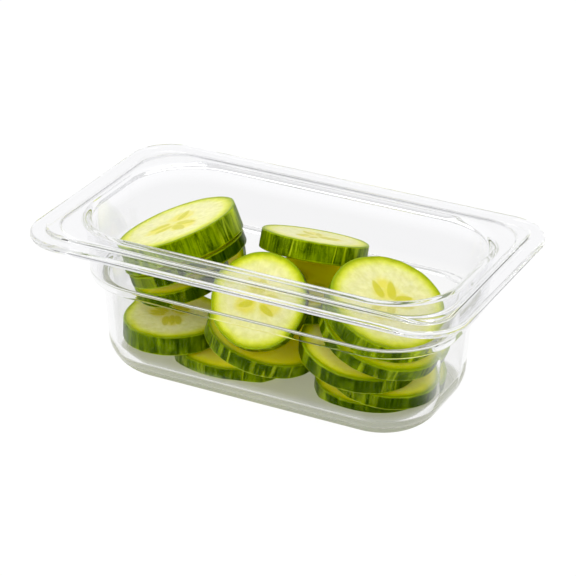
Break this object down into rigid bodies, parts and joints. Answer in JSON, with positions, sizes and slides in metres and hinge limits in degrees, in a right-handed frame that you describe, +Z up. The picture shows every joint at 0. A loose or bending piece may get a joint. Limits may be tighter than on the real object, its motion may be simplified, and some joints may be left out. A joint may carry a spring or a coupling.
{
  "type": "deli food pan",
  "caption": "Clear plastic ninth-size food pan with a stepped rim and a stacking shoulder, holding loose round cucumber slices.",
  "frame": {"origin": "middle of the flat base, at the level that the pan stands on", "axes": "+X along the long side, +Y across to the far long side, +Z up out of the open mouth"},
  "size_m": [0.176, 0.108, 0.0668],
  "materials": {
    "clear_plastic": "clear polished polycarbonate, satin on the floor and base",
    "cucumber": "moist cut flesh with a dark green streaked skin round the edge"
  },
  "bodies": {
    "pan": {"pan": "clear_plastic"},
    "slice_floor_left": {"slice_floor_left": "cucumber"},
    "slice_low_left": {"slice_low_left": "cucumber"},
    "slice_floor_right": {"slice_floor_right": "cucumber"},
    "slice_middle": {"slice_middle": "cucumber"},
    "slice_low_right": {"slice_low_right": "cucumber"},
    "slice_third_right": {"slice_third_right": "cucumber"},
    "slice_low_back": {"slice_low_back": "cucumber"},
    "slice_second_back": {"slice_second_back": "cucumber"},
    "slice_front": {"slice_front": "cucumber"},
    "slice_second_right": {"slice_second_right": "cucumber"},
    "slice_top_back": {"slice_top_back": "cucumber"},
    "slice_top_right": {"slice_top_right": "cucumber"},
    "slice_back_left": {"slice_back_left": "cucumber"},
    "slice_third_left": {"slice_third_left": "cucumber"},
    "slice_second_left": {"slice_second_left": "cucumber"},
    "slice_top_left": {"slice_top_left": "cucumber"}
  },
  "joints": [
    {"name": "lift_floor_left", "type": "slide", "parent": "pan", "child": "slice_floor_left", "axis": [0, 0, 1], "range_m": [0, 0.063]},
    {"name": "lift_low_left", "type": "slide", "parent": "slice_floor_left", "child": "slice_low_left", "axis": [0, 0, 1], "range_m": [0, 0.054]},
    {"name": "lift_floor_right", "type": "slide", "parent": "slice_low_left", "child": "slice_floor_right", "axis": [0, 0, 1], "range_m": [0, 0.064]},
    {"name": "lift_middle", "type": "slide", "parent": "slice_floor_right", "child": "slice_middle", "axis": [0, 0, 1], "range_m": [0, 0.055]},
    {"name": "lift_low_right", "type": "slide", "parent": "slice_middle", "child": "slice_low_right", "axis": [0, 0, 1], "range_m": [0, 0.058]},
    {"name": "lift_third_right", "type": "slide", "parent": "slice_low_right", "child": "slice_third_right", "axis": [0, 0, 1], "range_m": [0, 0.05]},
    {"name": "lift_low_back", "type": "slide", "parent": "slice_third_right", "child": "slice_low_back", "axis": [0, 0, 1], "range_m": [0, 0.041]},
    {"name": "lift_second_back", "type": "slide", "parent": "slice_low_back", "child": "slice_second_back", "axis": [0, 0, 1], "range_m": [0, 0.035]},
    {"name": "lift_front", "type": "slide", "parent": "slice_second_back", "child": "slice_front", "axis": [0, 0, 1], "range_m": [0, 0.043]},
    {"name": "lift_second_right", "type": "slide", "parent": "slice_front", "child": "slice_second_right", "axis": [0, 0, 1], "range_m": [0, 0.045]},
    {"name": "lift_top_back", "type": "slide", "parent": "slice_second_right", "child": "slice_top_back", "axis": [0, 0, 1], "range_m": [0, 0.027]},
    {"name": "lift_top_right", "type": "slide", "parent": "slice_second_right", "child": "slice_top_right", "axis": [0, 0, 1], "range_m": [0, 0.037]},
    {"name": "lift_back_left", "type": "slide", "parent": "slice_front", "child": "slice_back_left", "axis": [0, 0, 1], "range_m": [0, 0.05]},
    {"name": "lift_third_left", "type": "slide", "parent": "slice_back_left", "child": "slice_third_left", "axis": [0, 0, 1], "range_m": [0, 0.043]},
    {"name": "lift_second_left", "type": "slide", "parent": "slice_third_left", "child": "slice_second_left", "axis": [0, 0, 1], "range_m": [0, 0.034]},
    {"name": "lift_top_left", "type": "slide", "parent": "slice_second_left", "child": "slice_top_left", "axis": [0, 0, 1], "range_m": [0, 0.029]}
  ]
}
